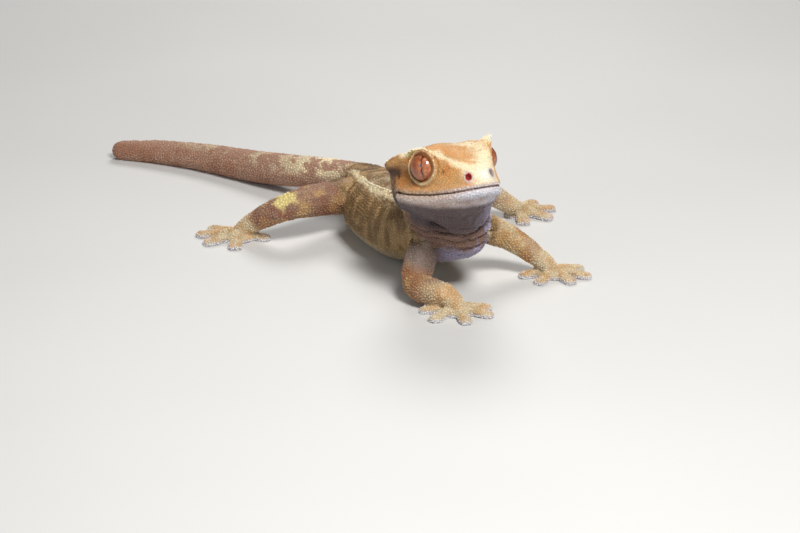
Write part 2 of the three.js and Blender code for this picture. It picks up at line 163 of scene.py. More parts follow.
def make_active(piece):
    deselect_all()
    piece.select_set(True)
    bpy.context.view_layer.objects.active = piece


def apply_modifier(piece, kind, **settings):
    make_active(piece)
    bpy.ops.object.modifier_add(type=kind)
    modifier = piece.modifiers[-1]
    for name, value in settings.items():
        setattr(modifier, name, value)
    bpy.ops.object.modifier_apply(modifier=modifier.name)


def edit_whole(piece, operator, **settings):
    make_active(piece)
    bpy.ops.object.mode_set(mode="EDIT")
    bpy.ops.mesh.select_all(action="SELECT")
    operator(**settings)
    bpy.ops.object.mode_set(mode="OBJECT")


def read_array(items, field, width, kind=float):
    flat = np.empty(len(items) * width, dtype=kind)
    items.foreach_get(field, flat)
    return flat.reshape(-1, width)


def read_points(mesh):
    return read_array(mesh.vertices, "co", 3) / MM


def read_edges(mesh):
    return read_array(mesh.edges, "vertices", 2, np.int64)


def read_normals(mesh):
    return read_array(mesh.vertex_normals, "vector", 3)


def write_points(mesh, points):
    mesh.vertices.foreach_set("co", (points * MM).ravel())
    mesh.update()


def neighbour_mean(values, edges):
    count = np.bincount(edges.ravel(), minlength=len(values))
    total = np.zeros_like(values)
    for column in range(values.shape[1]):
        for a, b in ((0, 1), (1, 0)):
            total[:, column] += np.bincount(edges[:, a], values[edges[:, b], column], len(values))
    return total / np.maximum(count, 1)[:, None]


print("mesh helpers ready")

# %% [markdown]
# A living animal has one skin, with no joints between head, neck and limbs. The flesh nodes are copied,
# joined and swelled by a hair, so that they cross their 0.3 mm gaps, and a voxel remesh then wraps them in
# one even net. The solids' plain spines and claws are flattened first, because finer ones are made later,
# and loose crumbs beside the body are taken off.

# %% Wrap the flesh in one net
FLESH = [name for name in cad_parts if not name.startswith("eye_")]
SPIKED = ("head", "neck", "torso", "hand_right", "hand_left", "foot_right", "foot_left")
SAME_POINT = 0.002
VOXEL = 0.36
SWELL = 0.22
SPIKE = 0.5
SPIKE_EDGES = 7


def flatten_spikes(mesh):
    points, edges = read_points(mesh), read_edges(mesh)
    mean = neighbour_mean(points, edges)
    count = np.bincount(edges.ravel(), minlength=len(points))
    near = np.full(len(points), np.inf)
    length = reach_from(points[edges[:, 0]], points[edges[:, 1]])
    np.minimum.at(near, edges[:, 0], length)
    np.minimum.at(near, edges[:, 1], length)
    spikes = (reach_from(points, mean) > SPIKE) & (near > SPIKE) & (count <= SPIKE_EDGES)
    points[spikes] = mean[spikes]
    write_points(mesh, points)
    return int(spikes.sum())


def joined_flesh(name):
    copies = []
    flattened = 0
    for node_name in FLESH:
        copy = bpy.data.objects.new(f"{name}_{node_name}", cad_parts[node_name].data.copy())
        bpy.context.collection.objects.link(copy)
        edit_whole(copy, bpy.ops.mesh.remove_doubles, threshold=SAME_POINT * MM)
        if node_name in SPIKED:
            flattened += flatten_spikes(copy.data)
        copies.append(copy)
    make_active(copies[0])
    for copy in copies:
        copy.select_set(True)
    bpy.ops.object.join()
    whole = bpy.context.object
    whole.name = name
    whole.data.name = name
    whole.data.materials.clear()
    print("spikes flattened", flattened)
    return whole


def largest_body(whole, name):
    edit_whole(whole, bpy.ops.mesh.separate, type="LOOSE")
    bodies = sorted(bpy.context.selected_objects, key=lambda body: len(body.data.vertices))
    for crumb in bodies[:-1]:
        bpy.data.objects.remove(crumb)
    bodies[-1].name = name
    print("crumbs taken off", len(bodies) - 1)
    return bodies[-1]


skin = joined_flesh("flesh")
apply_modifier(skin, "DISPLACE", strength=SWELL * MM, mid_level=0)
apply_modifier(skin, "REMESH", mode="VOXEL", voxel_size=VOXEL * MM, use_smooth_shade=True)
skin = largest_body(skin, "skin")
print("skin points", len(skin.data.vertices), "faces", len(skin.data.polygons))

# %% [markdown]
# Each point of the skin is nearest to some node, and how near it is to each says which part of the animal
# it belongs to. Soft shares, in place of hard borders, let colours and folds run from part to part.

# %% Which part of the animal is each point on?
PARTS = {
    "head": ["head"],
    "jaw": ["lower_jaw"],
    "neck": ["neck"],
    "torso": ["torso"],
    "tail": ["tail_base", "tail_middle", "tail_tip"],
    "arm_right": ["upper_arm_right", "forearm_right"],
    "arm_left": ["upper_arm_left", "forearm_left"],
    "hands": ["hand_right", "hand_left"],
    "leg_right": ["thigh_right", "shin_right"],
    "leg_left": ["thigh_left", "shin_left"],
    "feet": ["foot_right", "foot_left"],
}
BLEND = 1.1


def tree_of(nodes):
    corners, faces = [], []
    for node in nodes:
        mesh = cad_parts[node].data
        start = len(corners)
        corners += [v.co / MM for v in mesh.vertices]
        faces += [[start + i for i in face.vertices] for face in mesh.polygons]
    return BVHTree.FromPolygons(corners, faces)


def shares_of(points):
    far = np.empty((len(PARTS), len(points)))
    for row, nodes in enumerate(PARTS.values()):
        tree = tree_of(nodes)
        far[row] = [tree.find_nearest(Vector(p))[3] for p in points]
    near = np.exp(-(far - far.min(axis=0)) / BLEND * 2)
    return dict(zip(PARTS, near / near.sum(axis=0)))


points = read_points(skin.data)
edges = read_edges(skin.data)
shares = shares_of(points)
print({name: int((share > 0.5).sum()) for name, share in shares.items()})

# %% [markdown]
# The net still shows the solids' facets and the closed gaps. Smoothing moves each point towards its
# neighbours, and a second step a little back, so the form doesn't shrink. The face keeps more of its edges
# than the body does.

# %% Smooth away facets and gaps
ROUNDS = 46
FACE_KEPT = 0.62
DIGITS_KEPT = 0.55
FEATURES_KEPT = 0.3
LEAST_SMOOTHED = 0.06
FORTH, BACK = 0.5, -0.52
FOLD_ROUNDS = 80
MASK_ROUNDS = 12
NOSTRIL_AT = np.array([11.7, 3.0, -3.1])
EAR_AT = np.array([-9.6, 12.0, -2.6])


def fine_features(points):
    head = to_head(points)
    near = np.zeros(len(points))
    for side, sign in EYE_SIDES.items():
        near = np.maximum(near, ramp(-reach_from(points, EYES[side]), -6.0, -5.0))
        near = np.maximum(near, ramp(-reach_from(head, NOSTRIL_AT * [1, sign, 1]), -1.8, -1.2))
    return near


def smoothed(points, amount, rounds):
    for round_number in range(rounds):
        share = np.clip(amount * rounds - round_number, 0, 1)[:, None]
        for step in (FORTH, BACK):
            points = points + step * share * (neighbour_mean(points, edges) - points)
    return points


def filled_folds(points):
    head = to_head(points)
    under = ramp(-head[:, 2], 9.2, 11.5) * ramp(head[:, 0], -9, -4) * ramp(points[:, 2], 15, 20)
    throat = under * np.clip(shares["jaw"] + shares["neck"], 0, 1)
    trunk = np.clip(shares["torso"] + shares["jaw"] + shares["head"], 0, 1)
    nape = 4 * shares["neck"] * trunk * ramp(-head[:, 0], 8, 12)
    limbs = 1 - np.abs(2 * shares["torso"] - 1)
    mask = np.clip(np.maximum(throat, np.maximum(nape, 0.8 * limbs)), 0, 1)[:, None]
    for _ in range(MASK_ROUNDS):
        mask = (mask + neighbour_mean(mask, edges)) / 2
    mask = np.clip(1.4 * mask, 0, 1)
    for _ in range(FOLD_ROUNDS):
        points = points + 0.5 * mask * (neighbour_mean(points, edges) - points)
    return points


face = np.clip(shares["head"] + shares["jaw"], 0, 1)
digits = np.clip(shares["hands"] + shares["feet"], 0, 1)
kept = FACE_KEPT * face + DIGITS_KEPT * digits + FEATURES_KEPT * fine_features(points)
points = smoothed(points, np.clip(1 - kept, LEAST_SMOOTHED, 1), ROUNDS)
points = filled_folds(points)
write_points(skin.data, points)
print("smoothed", ROUNDS, "rounds")

# %% [markdown]
# Now the features that a sculptor would press in with a tool: the line of the mouth and its lips, the rim
# round each eye, the nostrils, the ears and the crests. Each is a move along the skin's normal. Its first
# number is the height or depth in millimetres, and the rest say where it lies and how wide it is.

# %% Press in the face
CORNER_AT = [-8.8, -8.8]
NOSTRIL_STRETCH = [1, 0.85, 1.15]
MOUTH_X = [-9.8, -4, 3, 9, 13, 17]
MOUTH_Z = [-6.3, -6.85, -7.05, -6.7, -6.15, -6.0]


def on_face(place, sign):
    head = to_head(points)
    return head[reach_from(head, place * [1, sign, 1]).argmin()]


NOSTRILS = {sign: on_face(NOSTRIL_AT, sign) for sign in (-1, 1)}
EARS = {sign: on_face(EAR_AT, sign) for sign in (-1, 1)}


def mouth_height(head):
    return head[:, 2] - np.interp(head[:, 0], MOUTH_X, MOUTH_Z)


def mouth_length(head):
    return ramp(head[:, 0], -10.4, -9.0) * face


def eye_distances(points, side, sign):
    offset = points - EYES[side]
    along = offset @ (eye_axis(sign) @ HEAD_AXES)
    across = np.sqrt(np.maximum((offset**2).sum(axis=1) - along**2, 0))
    return along, across


def mouth_corner(head):
    reach = reach_from(head[:, [0, 2]], CORNER_AT)
    beyond = ramp(-head[:, 0], 7.2, 8.4) * ramp(head[:, 2], -9.8, -8.2)
    beside = ramp(np.abs(head[:, 1]), 6, 8)
    return bump_at(reach, 2.4, 0.28) * beyond * beside, ramp(-reach, -2.2, -1.2) * beside


def face_moves(points):
    head = to_head(points)
    height = mouth_height(head)
    lips = mouth_length(head)
    move = -0.55 * bump_at(height, 0, 0.25) * lips
    move += 0.2 * bump_at(height, 0.95, 0.55) * lips
    move += 0.34 * bump_at(height, -1.15, 0.75) * lips
    move -= 0.28 * bump_at(height, -2.7, 0.55) * lips * ramp(head[:, 0], -8, 2)
    for side, sign in EYE_SIDES.items():
        along, across = eye_distances(points, side, sign)
        beside = ramp(along, -2.0, 0.0) * face
        move += 0.16 * bump_at(across, 4.2, 0.3) * beside
        move -= 0.3 * bump_at(across, 5.0, 0.4) * beside
        pit = reach_from(head, NOSTRILS[sign], NOSTRIL_STRETCH)
        move += (-0.45 * bump_at(pit, 0, 0.6) + 0.22 * bump_at(pit, 1.2, 0.35)) * face
        crest = line_distance(head * [1, sign, 1], [-7.5, 11.8, 2.2], [-15.8, 12.8, -0.8])
        move += 0.75 * bump_at(crest, 0, 1.3) * face
        ear = reach_from(head, EARS[sign], [0.75, 1, 1.5])
        move += -0.55 * bump_at(ear, 0, 0.8) * face
    forehead = bump_at(np.abs(head[:, 1]), 5.6, 2.2) * ramp(head[:, 2], 1, 3) * face
    move += 0.35 * forehead * ramp(head[:, 0], -9, -2) * ramp(-head[:, 0], -5, 0)
    corner, inside = mouth_corner(head)
    move += (0.3 * inside - 0.5 * corner) * face
    hollow = blob(head[:, :2], [3.5, 0], [3.6, 2.6])
    move -= 0.7 * hollow * ramp(head[:, 2], 0, 1.5) * face
    return move + 0.22 * (layered_noise(points, 2.6, 5) - 0.5) * face


print("nostrils at", NOSTRILS[-1].round(1), NOSTRILS[1].round(1))

# %% [markdown]
# The body's skin is loose. It lies in deep rolls where the throat meets the chest, in pleats on the flanks
# and in creases at the bends of the limbs, and the tail is faintly ringed. The sine of a place makes even
# folds, and noise added to that place makes them wander. Nothing may sink through the floor.

# %% Press in the folds of the body
SWELL_TAKEN_BACK = 0.12


def fold(phase):
    return np.abs(np.sin(phase)) ** 0.7 - 0.6


def body_moves(points):
    x, y, z = points.T
    wander = layered_noise(points, 7, 11)
    low_throat = ramp(z, 9, 13) * ramp(-z, -22, -18) * ramp(x, 24, 30)
    throat = shares["neck"] + shares["jaw"] + 0.7 * shares["torso"]
    move = 1.15 * fold(z * 1.35 + wander * 7 + 0.05 * y) * low_throat * throat
    high_throat = ramp(z, 18, 22) * ramp(x, 30, 36)
    crease = fold(z * 1.1 + 0.35 * np.abs(y + 5) + wander * 9)
    move += 0.2 * crease * high_throat * np.clip(shares["neck"] + shares["jaw"], 0, 1)
    flank = shares["torso"] * ramp(-x, -30, -20) * bump_at(z, 9, 7)
    move += 0.3 * fold(x * 0.8 + wander * 6 + 0.25 * z) * flank
    seam = bump_at(z, 5.2 + 2.5 * wander, 0.9) * shares["torso"] * ramp(-x, -24, -14) * ramp(x, -26, -16)
    move += 0.5 * seam
    limbs = sum(shares[name] for name in ("arm_right", "arm_left", "leg_right", "leg_left"))
    move += 0.3 * (layered_noise(points * [1, 1, 0.5], 2.4, 21) - 0.5) * limbs
    ring = (points @ np.array([0.86, 0.5, 0.08])) * 2.1
    move += 0.05 * np.sin(ring) * shares["tail"]
    return move + 0.3 * (layered_noise(points, 3.2, 31) - 0.5) * (1 - face) * (1 - digits)


def on_floor(points):
    points = points.copy()
    points[:, 2] = np.maximum(points[:, 2], 0)
    return points


normals = read_normals(skin.data)
moves = face_moves(points) + body_moves(points) - SWELL_TAKEN_BACK
points = points + normals * moves[:, None]
points = on_floor(points)
write_points(skin.data, points)
normals = read_normals(skin.data)
print("skin spans mm", points.min(axis=0).round(1), points.max(axis=0).round(1))

# %% [markdown]
# Colours are named as a painter names tubes, and given as they look. Blender adds light in linear numbers,
# so each is turned into those once.

# %% The palette
def paint(red, green, blue):
    channels = np.array([red, green, blue]) / 255
    return np.where(channels < 0.04045, channels / 12.92, ((channels + 0.055) / 1.055) ** 2.4)


CREAM = paint(238, 220, 182)
PALE_CREAM = paint(247, 240, 222)
CARAMEL = paint(210, 154, 94)
ORANGE = paint(202, 130, 64)
RUST = paint(140, 72, 34)
DARK_BROWN = paint(72, 46, 30)
OLIVE = paint(126, 98, 60)
TAN = paint(190, 154, 106)
SAND = paint(208, 188, 156)
PINK_BROWN = paint(170, 130, 108)
LAVENDER = paint(172, 166, 196)
MAUVE = paint(112, 98, 108)
PALE_LIP = paint(206, 188, 182)
BLUE_WHITE = paint(214, 214, 226)
BLOOD = paint(176, 26, 14)
YELLOW_CREAM = paint(228, 208, 140)
# Painted shade: the dark of the upper throat and of the jaw's underside, where shade falls under the head.
THROAT_PAINTED_SHADE = paint(80, 66, 70)
ARM_GREY = paint(132, 118, 112)
ELBOW_BROWN = paint(156, 116, 80)
MOUTH_BROWN = RUST * 0.7
print("cream in linear numbers", CREAM.round(3))

# %% [markdown]
# Skin and scales must carry the same markings, so one function gives the colour of any place on the animal.
# It starts from a ground colour and lays others over it in order, each through a soft mask between 0 and 1.

# %% Paint through masks
def mix(base, colour, mask):
    return base + (colour - base) * np.clip(mask, 0, 1)[:, None]


def painted(colour, *layers):
    for over, mask in layers:
        colour = mix(colour, over, mask)
    return colour


def mouth_line(head):
    return ramp(-np.abs(mouth_height(head)), -0.26, -0.1) * ramp(head[:, 0], -10.4, -9.4)


print("half cream, half rust", painted(CREAM, (RUST, np.array([0.5]))).round(3))

# %% [markdown]
# The head is caramel with orange cheeks. A cream ridge runs from each brow to the muzzle, the crests are
# cream above a dark temple, and the nostril that the camera sees is red inside. Places are in millimetres
# in the head's own frame, and noise breaks the edges of the masks.

# %% Colours of the head and jaw
def head_colour(points):
    head = to_head(points)
    x, y, z = head.T
    mirrored = np.column_stack([x, np.abs(y), z])
    rough = layered_noise(points, 2.2, 41) - 0.5
    coarse = layered_noise(points, 4.5, 45) - 0.5
    rear = ramp(-x, 5, 12) * ramp(z, -1, 1)
    ridge = 2.6 * rough + np.minimum(
        line_distance(mirrored, [1.4, 8.4, 4.0], [6.0, 5.1, 1.6]),
        line_distance(mirrored, [6.0, 5.1, 1.6], [10, 2.4, -1.0]),
    )
    muzzle = x - 10.6 + 0.9 * (z + 3) + 0.35 * y + 5 * rough
    pores = ramp(noise(points, 0.95, 47), 0.8, 0.86) * ramp(x, -4, 0) * ramp(z, -2, -1)
    spot = reach_from(mirrored, [6.4, 7.2, -1.4])
    brow = line_distance(mirrored, [2.6, 8.4, 3.6], [-6.0, 10.4, 3.2]) + 1.2 * rough
    crest = line_distance(mirrored, [-6.0, 11.0, 3.2], [-16, 13.2, -0.6]) + 0.8 * rough
    temple = blob(mirrored, [-11.5, 12, -1.6], [5.0, 5, 1.7]) * ramp(crest, 0.5, 1.1)
    colour = painted(
        CARAMEL,
        (ORANGE, 0.8 * ramp(coarse + 0.6 * rough, -0.06, 0.16)),
        (TAN, 0.55 * ramp(rough, 0.04, 0.2)),
        (ORANGE, 0.8 * blob(mirrored, [6.5, 8.2, -2.6], [3.4, 3.0, 2.6]) * ramp(coarse, -0.2, 0.1)),
        (CARAMEL, 0.7 * ramp(z, 2.2, 3.4) * ramp(-x, -2.5, -0.5)),
        (TAN, 0.8 * rear * ramp(coarse, -0.15, 0.1)),
        (RUST, 0.55 * rear * ramp(rough - coarse, 0.02, 0.2)),
        (CREAM, 0.9 * ramp(-ridge, -1.9, -0.5)),
        (CREAM, 0.9 * ramp(muzzle, -1.2, 1.0)),
        (CREAM, 1.2 * blob(head, [-1.0, 4.0, 3.0], [6.5, 3.0, 3]) * ramp(rough, -0.16, 0.06)),
        (ORANGE, blob(head, [2.2, 7.2, 2.2], [2.0, 1.6, 1.8])),
        (CARAMEL, 1.1 * blob(head, [3.2, 0.2, 1.9], [2.4, 2.6, 2.6]) * ramp(rough, -0.2, 0.05)),
        # Painted highlight: a near-white spot on the tip of the snout, a little to the animal's left, over
        # the cream muzzle.
        (PALE_CREAM, 1.2 * blob(head, [12.2, 1.4, -3.2], [2.2, 2.4, 1.7])),
        (RUST, 0.35 * pores),
        (DARK_BROWN, 0.7 * ramp(-spot, -0.75, -0.4) * ramp(-y, -1, 0)),
        (YELLOW_CREAM, 0.85 * ramp(-brow, -1.5, -0.5)),
        (CREAM, ramp(-crest, -1.3, -0.5)),
        (DARK_BROWN, 1.25 * temple * ramp(-z, -0.9, 0.1)),
        (ORANGE, 0.6 * blob(mirrored, [-7.5, 11.5, -4.4], [3.6, 4, 2.2])),
        (mix(TAN, PALE_LIP, ramp(x, 2, 10)), 0.7 * ramp(-mouth_height(head), -1.25, -0.75)),
    )
    for sign, lining, depth in ((-1, BLOOD, 1.0), (1, MAUVE, 0.8)):
        pit = -reach_from(head, NOSTRILS[sign], NOSTRIL_STRETCH)
        colour = mix(colour, PALE_LIP, 0.7 * ramp(pit, -1.7, -1.3))
        colour = mix(colour, lining, depth * ramp(pit, -1.08, -0.85))
    for side, sign in EYE_SIDES.items():
        along, across = eye_distances(points, side, sign)
        above = (points - EYES[side]) @ HEAD_AXES[2]
        outside = ramp(along, -2.5, -0.5)
        colour = painted(
            colour,
            (mix(TAN, ORANGE, ramp(above, -1.0, 2.0)), 0.85 * ramp(-across, -4.9, -4.5) * outside),
            (CREAM, 0.7 * bump_at(across, 4.2, 0.16) * outside),
            (RUST, 0.7 * ramp(-across, -3.85, -3.6) * ramp(along, -4, -2)),
        )
    corner, _ = mouth_corner(head)
    return painted(colour, (DARK_BROWN, 0.8 * corner), (MOUTH_BROWN, mouth_line(head)))


def jaw_colour(points):
    head = to_head(points)
    x, y, _ = head.T
    below = -mouth_height(head)
    rough = layered_noise(points, 2.4, 51) - 0.5
    # Painted shade under the jaw: dark, with a painted bluish rim light in lavender towards the animal's left
    # side.
    throat = mix(THROAT_PAINTED_SHADE, LAVENDER, 0.85 * ramp(y + 10 * rough, 2, 9))
    corner, inside = mouth_corner(head)
    return painted(
        PALE_LIP,
        (BLUE_WHITE, ramp(x + 0.4 * y, 4, 13)),
        (PINK_BROWN, 0.5 * ramp(below, 1.7, 2.6) * ramp(rough, -0.2, 0.2)),
        (throat, 0.92 * ramp(below - 0.12 * x, 2.0, 3.8)),
        (SAND, 0.7 * inside * ramp(rough, -0.2, 0.05)),
        (DARK_BROWN, 0.8 * corner),
        (MOUTH_BROWN, mouth_line(head)),
    )


print("snout's colour", head_colour(from_head([[12.0, 0.0, -3.0]])).round(3))

# %% [markdown]
# The upper throat is painted dark as shade under the jaw, and lavender on the animal's left side as a painted
# bluish rim light; its lower folds are lavender. The flanks are olive with tan streaks, a cream line runs
# down each side of the back, and the tail is a pinkish brown with a cream patch at its root.

# %% Colours of the neck, torso and tail
def neck_colour(points):
    x, y, z = points.T
    rough = layered_noise(points, 2.6, 61) - 0.5
    # The upper throat is painted dark as shade under the jaw, and lavender towards the animal's left side as
    # a painted bluish rim light. The lavender low on the throat is its own colour.
    throat = painted(
        THROAT_PAINTED_SHADE,
        (PINK_BROWN * 0.8, 0.7 * ramp(-z, -21, -17)),
        (LAVENDER, 0.9 * ramp(y + 22 * rough, 1, 8)),
        (LAVENDER, 0.8 * ramp(-z + 8 * rough, -14, -10)),
    )
    return painted(
        OLIVE,
        (TAN, 0.6 * ramp(rough, -0.05, 0.15)),
        (PINK_BROWN, 0.5 * ramp(x, 27, 32)),
        (throat, ramp(x + 0.25 * np.abs(y + 3), 32, 38)),
    )


def torso_colour(points):
    x, y, z = points.T
    streaks = layered_noise(points * [1, 1, 0.34], 1.9, 71) - 0.5
    blotches = layered_noise(points, 6, 75) - 0.5
    middle = np.interp(x, [-30, -9, 2, 22, 34], [-0.4, -3.0, -3.4, -0.9, -1.0])
    half = np.interp(x, [-30, -14, 2, 22, 34], [4.6, 6.8, 7.8, 8.4, 9.4])
    ridge = np.abs(np.abs(y - middle) - half) + 1.6 * (layered_noise(points, 1.8, 85) - 0.5)
    return painted(
        OLIVE,
        (TAN, 0.62 * ramp(streaks, -0.04, 0.18)),
        (DARK_BROWN, 0.5 * ramp(blotches, 0.02, 0.2) * ramp(z, 8, 14)),
        (SAND, 0.65 * ramp(-z, -7.5, -2.5)),
        (SAND, 0.4 * ramp(z, 16.2, 18) * ramp(layered_noise(points, 3.4, 81), 0.42, 0.6)),
        (LAVENDER, 0.85 * ramp(x, 30, 36) * ramp(-np.abs(y), -9, -6)),
        (CREAM, 0.7 * ramp(-ridge, -1.1, -0.4) * ramp(z, 10, 13)),
    )


def tail_colour(points):
    x, _, z = points.T
    blotches = layered_noise(points, 5, 91) - 0.5
    broken = blotches + layered_noise(points, 1.6, 95) - 0.5
    return painted(
        PINK_BROWN,
        (RUST, 0.35 * ramp(blotches, 0, 0.2)),
        (SAND, 0.75 * ramp(z, 5.5, 8.5) * ramp(broken, -0.12, 0.12)),
        (CREAM, 0.9 * bump_at(x, -46, 6) * ramp(broken, -0.1, 0.06) * ramp(z, 7, 10)),
    )


print("back's colour", torso_colour(np.array([[0.0, 0.0, 16.0]])).round(3))

# %% [markdown]
# The near arm is brown at the elbow and grey above it, the near knee has a yellow patch, and the digits are
# sandy with blue-white pads. The far limbs are plainer. The table at the end gives each part its function,
# and a point between two parts takes a share of both colours.

# %% Colours of the limbs, and the whole animal
def arm_right_colour(points):
    x, y, z = points.T
    rough = layered_noise(points, 2.2, 101) - 0.5
    upper = mix(ARM_GREY, MAUVE, ramp(y, -10, -6))
    return painted(
        ELBOW_BROWN,
        (RUST, 0.35 * ramp(rough, -0.05, 0.15)),
        (TAN, 0.6 * ramp(-rough, 0.02, 0.2)),
        (SAND, 0.6 * ramp(x, 42, 49)),
        (upper, 0.85 * ramp(z + 0.4 * (y + 12), 6, 10)),
    )


def pale_limb_colour(points, ground, light, seed):
    rough = layered_noise(points, 2.4, seed) - 0.5
    spots = layered_noise(points, 4.6, seed + 4) - 0.5
    light_mask = 0.8 * ramp(rough, -0.05, 0.15)
    return painted(ground, (light, light_mask), (RUST, 0.35 * ramp(spots, 0.04, 0.2)))


def leg_right_colour(points):
    broken = layered_noise(points, 2.0, 125) - 0.5
    knee = 5 * broken - reach_from(points, [-14.0, -31.0, 12.5])
    return mix(pale_limb_colour(points, PINK_BROWN * 0.75, TAN, 121), YELLOW_CREAM, ramp(knee, -3.6, -2.2))


def digit_colour(points):
    rough = layered_noise(points, 1.8, 131) - 0.5
    return painted(
        SAND,
        (TAN, 0.7 * ramp(rough, -0.02, 0.16)),
        (CARAMEL, 0.4 * ramp(layered_noise(points, 3.4, 135), 0.52, 0.7)),
        (BLUE_WHITE, 0.75 * ramp(-points[:, 2], -1.3, -0.5)),
    )


# Painted shade in the gaps between the scales: the skin that shows there is darkened, less on the face.
GAP_SHADE_TONE = 0.78
FACE_GAP_SHADE_TONE = 0.9
LEAST_SHARE = 0.004
PART_COLOURS = {
    "head": head_colour,
    "jaw": jaw_colour,
    "neck": neck_colour,
    "torso": torso_colour,
    "tail": tail_colour,
    "arm_right": arm_right_colour,
    "arm_left": lambda points: pale_limb_colour(points, TAN, SAND, 111),
    "hands": digit_colour,
    "leg_right": leg_right_colour,
    "leg_left": lambda points: pale_limb_colour(points, PINK_BROWN, SAND, 115),
    "feet": digit_colour,
}


def markings(points, shares):
    colour = np.zeros((len(points), 3))
    for part, colour_of in PART_COLOURS.items():
        used = shares[part] > LEAST_SHARE
        colour[used] += shares[part][used, None] * colour_of(points[used])
    return colour


def write_colour(mesh, colour):
    layer = mesh.color_attributes.new(name="Markings", type="FLOAT_COLOR", domain="POINT")
    channels = np.ones((len(colour), 4), dtype=np.float32)
    channels[:, :3] = colour
    layer.data.foreach_set("color", channels.ravel())


def hollow_shade(points, normals):
    cavity = ((neighbour_mean(points, edges) - points) * normals).sum(axis=1)[:, None]
    for _ in range(2):
        cavity = (cavity + neighbour_mean(cavity, edges)) / 2
    return 1 - 0.6 * ramp(cavity, 0.012, 0.085)


skin_colour = markings(points, shares) * hollow_shade(points, normals)
# Painted shade: the skin between the scales is darkened as shade in the gaps.
gap_shade = GAP_SHADE_TONE + (FACE_GAP_SHADE_TONE - GAP_SHADE_TONE) * face
write_colour(skin.data, skin_colour * gap_shade[:, None])
print("mean skin colour", skin_colour.mean(axis=0).round(3))

# %% [markdown]
# A material is a sum of small calculations, and written as Python expressions they stay short. The class
# below wraps a shader socket, so that masks can be added, subtracted and multiplied like numbers.

# %% Shader expressions
class Expression:
    def __init__(self, tree, socket):
        self.tree = tree
        self.socket = socket

    def _math(self, operation, other, swapped=False):
        first, second = (other, self) if swapped else (self, other)
        return node(self.tree, "ShaderNodeMath", {"operation": operation}, {0: first, 1: second})

    def __add__(self, other):
        return self._math("ADD", other)

    def __mul__(self, other):
        return self._math("MULTIPLY", other)

    def __sub__(self, other):
        return self._math("SUBTRACT", other)

    def __rsub__(self, other):
        return self._math("SUBTRACT", other, swapped=True)

    def __pow__(self, other):
        return self._math("POWER", other)

    def __abs__(self):
        return self._math("ABSOLUTE", 0)

    def sine(self):
        return self._math("SINE", 0)

    __radd__ = __add__
    __rmul__ = __mul__

    def between(self, low, high):
        settings = {"interpolation_type": "SMOOTHSTEP", "clamp": True}
        return node(self.tree, "ShaderNodeMapRange", settings, {0: self, 1: low, 2: high})


def node(tree, kind, settings=None, inputs=None, output=0):
    made = tree.nodes.new(kind)
    for name, value in (settings or {}).items():
        setattr(made, name, value)
    for name, value in (inputs or {}).items():
        socket = made.inputs[name]
        if isinstance(value, Expression):
            tree.links.new(value.socket, socket)
        else:
            socket.default_value = value
    return Expression(tree, made.outputs[output])


def mixed(tree, factor, first, second, blend="MIX"):
    settings = {"data_type": "RGBA", "blend_type": blend, "clamp_result": False}
    return node(tree, "ShaderNodeMix", settings, {0: factor, 6: first, 7: second}, output=2)


def rgba(colour):
    return (*[float(c) for c in colour], 1.0)


def new_material(name, **settings):
    material = bpy.data.materials.new(name)
    material.use_nodes = True
    tree = material.node_tree
    shader = tree.nodes["Principled BSDF"]
    for socket, value in settings.items():
        shader.inputs[socket.replace("_", " ")].default_value = value
    return material, tree, shader


def plug(expression, shader, socket):
    expression.tree.links.new(expression.socket, shader.inputs[socket])


def object_place(tree):
    return node(tree, "ShaderNodeTexCoord", output="Object")


print("shader helpers ready")

# %% [markdown]
# The net has carried its measures and its markings by now, so it can lose a third of its triangles without
# a visible change, and a skin of under 200,000 is exported whole. The spines grow from a search tree of the
# full net, which is kept.

# %% Thin the net
THINNED_TO = 0.62
skin_tree = BVHTree.FromPolygons([Vector(p) for p in points], [list(f.vertices) for f in skin.data.polygons])
apply_modifier(skin, "DECIMATE", ratio=THINNED_TO)
print("skin triangles", sum(len(f.vertices) - 2 for f in skin.data.polygons))

# %% [markdown]
# The skin between the scales is painted darker, as shade in the gaps between them, and is finely grained. The
# scales are paler and a little glossier. Both read the same markings from the mesh and add grain too fine to
# model, from the place on the animal.

# %% Materials of skin and scales
def fine_noise(tree, scale, detail=2.0):
    place = object_place(tree)
    return node(tree, "ShaderNodeTexNoise", {}, {"Vector": place, "Scale": scale, "Detail": detail})


def skin_material(name, grain_scale, grain_depth, rough_low, rough_high, tone_spread):
    material, tree, shader = new_material(
        name, Subsurface_Weight=0.12, Subsurface_Scale=0.0012, Specular_IOR_Level=0.45
    )
    marks = node(tree, "ShaderNodeAttribute", {"attribute_name": "Markings"}, output="Color")
    fine = fine_noise(tree, 2600, 3)
    tone = fine.between(0.3, 0.7)
    level = tone * tone_spread + (1 - tone_spread / 2)
    grey = node(tree, "ShaderNodeCombineColor", {}, {channel: level for channel in range(3)})
    plug(mixed(tree, 1.0, marks, grey, blend="MULTIPLY"), shader, "Base Color")
    dryness = fine_noise(tree, 900).between(0.35, 0.65)
    plug(dryness * (rough_high - rough_low) + rough_low, shader, "Roughness")
    grain = node(tree, "ShaderNodeTexVoronoi", {"feature": "SMOOTH_F1"}, {
        "Vector": object_place(tree), "Scale": grain_scale, "Smoothness": 0.4,
    }, output="Distance")
    plug(node(tree, "ShaderNodeBump", {"invert": True}, {
        "Strength": 0.6, "Distance": grain_depth, "Height": grain,
    }), shader, "Normal")
    return material


skin_finish = skin_material(
    "gecko_skin", grain_scale=3200, grain_depth=0.00012, rough_low=0.5, rough_high=0.72, tone_spread=0.3
)
scale_finish = skin_material(
    "gecko_scales", grain_scale=6500, grain_depth=0.00004, rough_low=0.36, rough_high=0.6, tone_spread=0.34
)
skin.data.materials.append(skin_finish)
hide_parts(*FLESH)
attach(skin, "root")
print("materials", skin_finish.name, scale_finish.name)

